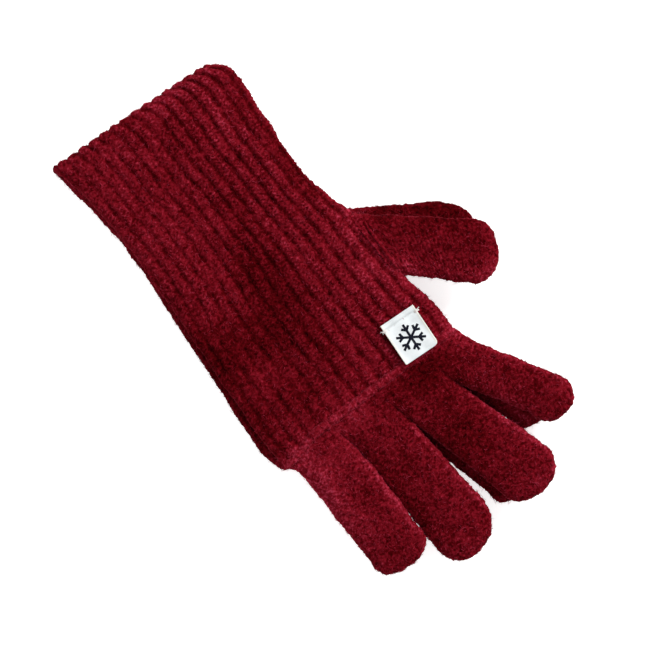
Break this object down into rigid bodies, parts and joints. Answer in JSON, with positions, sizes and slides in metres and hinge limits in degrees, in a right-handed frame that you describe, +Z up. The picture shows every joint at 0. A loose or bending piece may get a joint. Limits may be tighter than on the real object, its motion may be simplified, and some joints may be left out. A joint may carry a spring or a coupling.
{
  "type": "knitted glove pair",
  "caption": "Stacked pair of ribbed wool gloves with long cuffs, folding fingers and thumbs, and a sewn-on woven label.",
  "frame": {"origin": "middle of the pair's bounding box at its underside", "axes": "+Y from the cuffs to the fingertips, +Z up from the surface that the pair lies on, thumbs towards -X"},
  "size_m": [0.1362, 0.2424, 0.0232],
  "materials": {
    "knit_wool": "brushed rib and plain knit wool",
    "seam_yarn": "linked seam and cast-on edge yarn",
    "label_tape": "fine woven tape",
    "label_thread": "sewing thread"
  },
  "bodies": {
    "left_glove": {"left_cuff_welt": "seam_yarn", "left_ribbed_hand": "knit_wool", "left_knuckle_seam": "seam_yarn", "left_knuckle_band": "knit_wool", "left_thumb_seam": "seam_yarn"},
    "right_glove": {"right_cuff_welt": "seam_yarn", "right_ribbed_hand": "knit_wool", "right_knuckle_seam": "seam_yarn", "right_knuckle_band": "knit_wool", "right_thumb_seam": "seam_yarn", "label_sewn_end": "label_tape", "label_tack_thumb_side": "label_thread", "label_tack_outer_side": "label_thread"},
    "label": {"label_flap": "label_tape"},
    "left_index_finger_body": {"left_index_finger": "knit_wool"},
    "left_middle_finger_body": {"left_middle_finger": "knit_wool"},
    "left_ring_finger_body": {"left_ring_finger": "knit_wool"},
    "left_little_finger_body": {"left_little_finger": "knit_wool"},
    "left_thumb_body": {"left_thumb": "knit_wool"},
    "right_index_finger_body": {"right_index_finger": "knit_wool"},
    "right_middle_finger_body": {"right_middle_finger": "knit_wool"},
    "right_ring_finger_body": {"right_ring_finger": "knit_wool"},
    "right_little_finger_body": {"right_little_finger": "knit_wool"},
    "right_thumb_body": {"right_thumb": "knit_wool"}
  },
  "joints": [
    {"name": "right_glove_lift", "type": "slide", "parent": "left_glove", "child": "right_glove", "axis": [0, 0, 1], "range_m": [0, 0.12]},
    {"name": "right_index_finger_fold", "type": "hinge", "parent": "right_glove", "child": "right_index_finger_body", "pos_m": [-0.02675, 0.05667, 0.0211], "axis": [0.866, 0.5, 0], "range_deg": [0, 90]},
    {"name": "right_middle_finger_fold", "type": "hinge", "parent": "right_glove", "child": "right_middle_finger_body", "pos_m": [-0.00335, 0.05567, 0.0211], "axis": [0.9613, 0.2756, 0], "range_deg": [0, 90]},
    {"name": "right_ring_finger_fold", "type": "hinge", "parent": "right_glove", "child": "right_ring_finger_body", "pos_m": [0.02175, 0.05567, 0.0211], "axis": [0.9994, 0.0349, 0], "range_deg": [0, 90]},
    {"name": "right_little_finger_fold", "type": "hinge", "parent": "right_glove", "child": "right_little_finger_body", "pos_m": [0.04755, 0.05567, 0.0211], "axis": [0.9998, 0.0175, 0], "range_deg": [0, 90]},
    {"name": "right_thumb_fold", "type": "hinge", "parent": "right_glove", "child": "right_thumb_body", "pos_m": [-0.02685, -0.00913, 0.0211], "axis": [0, 1, 0], "range_deg": [0, 90]},
    {"name": "left_index_finger_fold", "type": "hinge", "parent": "left_glove", "child": "left_index_finger_body", "pos_m": [-0.02675, 0.05667, 0.0211], "axis": [0.866, 0.5, 0], "range_deg": [0, 90]},
    {"name": "left_middle_finger_fold", "type": "hinge", "parent": "left_glove", "child": "left_middle_finger_body", "pos_m": [-0.00335, 0.05567, 0.0211], "axis": [0.9613, 0.2756, 0], "range_deg": [0, 90]},
    {"name": "left_ring_finger_fold", "type": "hinge", "parent": "left_glove", "child": "left_ring_finger_body", "pos_m": [0.02175, 0.05567, 0.0211], "axis": [0.9994, 0.0349, 0], "range_deg": [0, 90]},
    {"name": "left_little_finger_fold", "type": "hinge", "parent": "left_glove", "child": "left_little_finger_body", "pos_m": [0.04755, 0.05567, 0.0211], "axis": [0.9998, 0.0175, 0], "range_deg": [0, 90]},
    {"name": "left_thumb_fold", "type": "hinge", "parent": "left_glove", "child": "left_thumb_body", "pos_m": [-0.02685, -0.00913, 0.0211], "axis": [0, 1, 0], "range_deg": [0, 90]},
    {"name": "label_fold", "type": "hinge", "parent": "right_glove", "child": "label", "pos_m": [-0.01306, 0.02308, 0.0222], "axis": [0.9986, -0.0523, 0], "range_deg": [0, 130]}
  ],
  "couplings": [
    {"joint": "left_index_finger_fold", "follows": "right_index_finger_fold", "ratio": 1},
    {"joint": "left_middle_finger_fold", "follows": "right_middle_finger_fold", "ratio": 1},
    {"joint": "left_ring_finger_fold", "follows": "right_ring_finger_fold", "ratio": 1},
    {"joint": "left_little_finger_fold", "follows": "right_little_finger_fold", "ratio": 1},
    {"joint": "left_thumb_fold", "follows": "right_thumb_fold", "ratio": 1}
  ]
}
